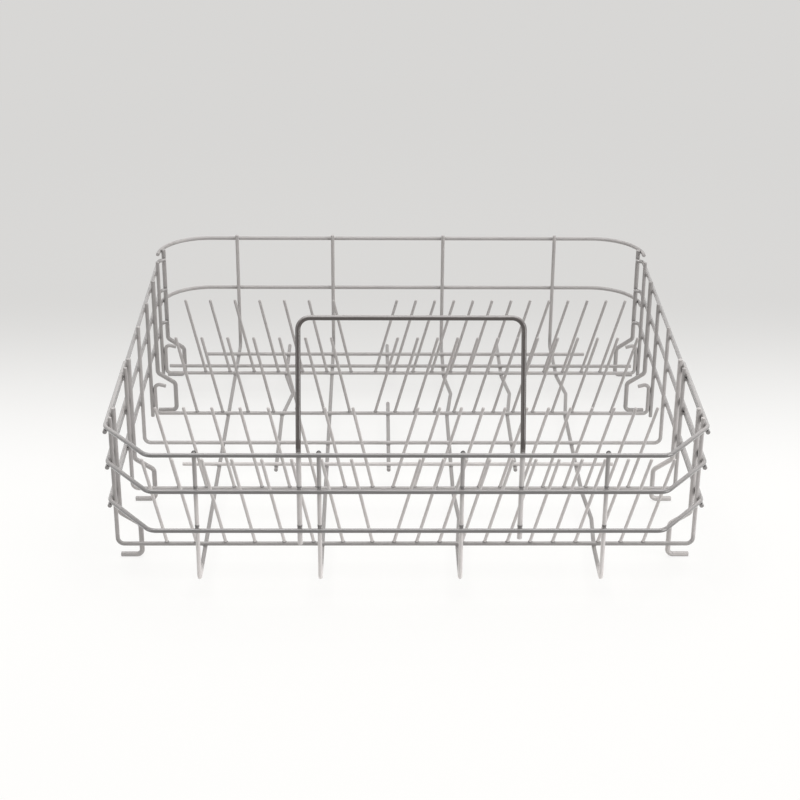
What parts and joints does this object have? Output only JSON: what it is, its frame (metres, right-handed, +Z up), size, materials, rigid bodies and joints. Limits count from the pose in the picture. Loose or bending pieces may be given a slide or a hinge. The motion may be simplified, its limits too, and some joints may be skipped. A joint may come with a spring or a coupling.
{
  "type": "dishwasher lower basket",
  "caption": "Open lower basket for a dishwasher, welded from coated steel wire, with slanted front corners, rows of leaning plate tines, a tall handle bow and bare stubs for wheels.",
  "frame": {"origin": "middle of the footprint, on the floor under the wheel stubs", "axes": "+Z up, +Y to the rear, +X to the right as seen from the handle"},
  "size_m": [0.534, 0.5328, 0.2563],
  "materials": {
    "coated_wire": "satin grey plastic coat over steel wire",
    "coated_tine": "satin grey plastic coat, rounded over the tips",
    "handle_wire": "satin grey plastic coat over steel wire, darker on the bow"
  },
  "bodies": {
    "root": {"axle_1_left": "coated_wire", "axle_1_right": "coated_wire", "axle_2_left": "coated_wire", "axle_2_right": "coated_wire", "axle_3_left": "coated_wire", "axle_3_right": "coated_wire", "axle_4_left": "coated_wire", "axle_4_right": "coated_wire", "centre_wire_front": "coated_wire", "centre_wire_rear": "coated_wire", "cross_wire": "coated_wire", "floor_wire_2": "coated_wire", "floor_wire_5": "coated_wire", "frame_1": "coated_wire", "frame_2": "coated_wire", "frame_3": "coated_wire", "front_rail_low": "coated_wire", "front_rail_mid": "coated_wire", "front_rail_top": "coated_wire", "handle": "handle_wire", "long_wire_1": "coated_wire", "long_wire_3": "coated_wire", "long_wire_4": "coated_wire", "long_wire_6": "coated_wire", "rear_rail": "coated_wire", "rear_rim": "coated_wire", "short_wire_front": "coated_wire", "short_wire_rear": "coated_wire", "side_rail_low_left": "coated_wire", "side_rail_low_right": "coated_wire", "side_rail_mid_left": "coated_wire", "side_rail_mid_right": "coated_wire", "side_rail_top_left": "coated_wire", "side_rail_top_right": "coated_wire", "stay_front_left": "coated_wire", "stay_front_right": "coated_wire", "stay_rear_left": "coated_wire", "stay_rear_right": "coated_wire", "tine_bar_front": "coated_wire", "tine_bar_rear": "coated_wire", "tines_front_left": "coated_tine", "tines_front_right": "coated_tine", "tines_mid_front_left": "coated_tine", "tines_mid_front_right": "coated_tine", "tines_mid_rear_left": "coated_tine", "tines_mid_rear_right": "coated_tine", "tines_rear_left": "coated_tine", "tines_rear_right": "coated_tine"}
  },
  "joints": []
}
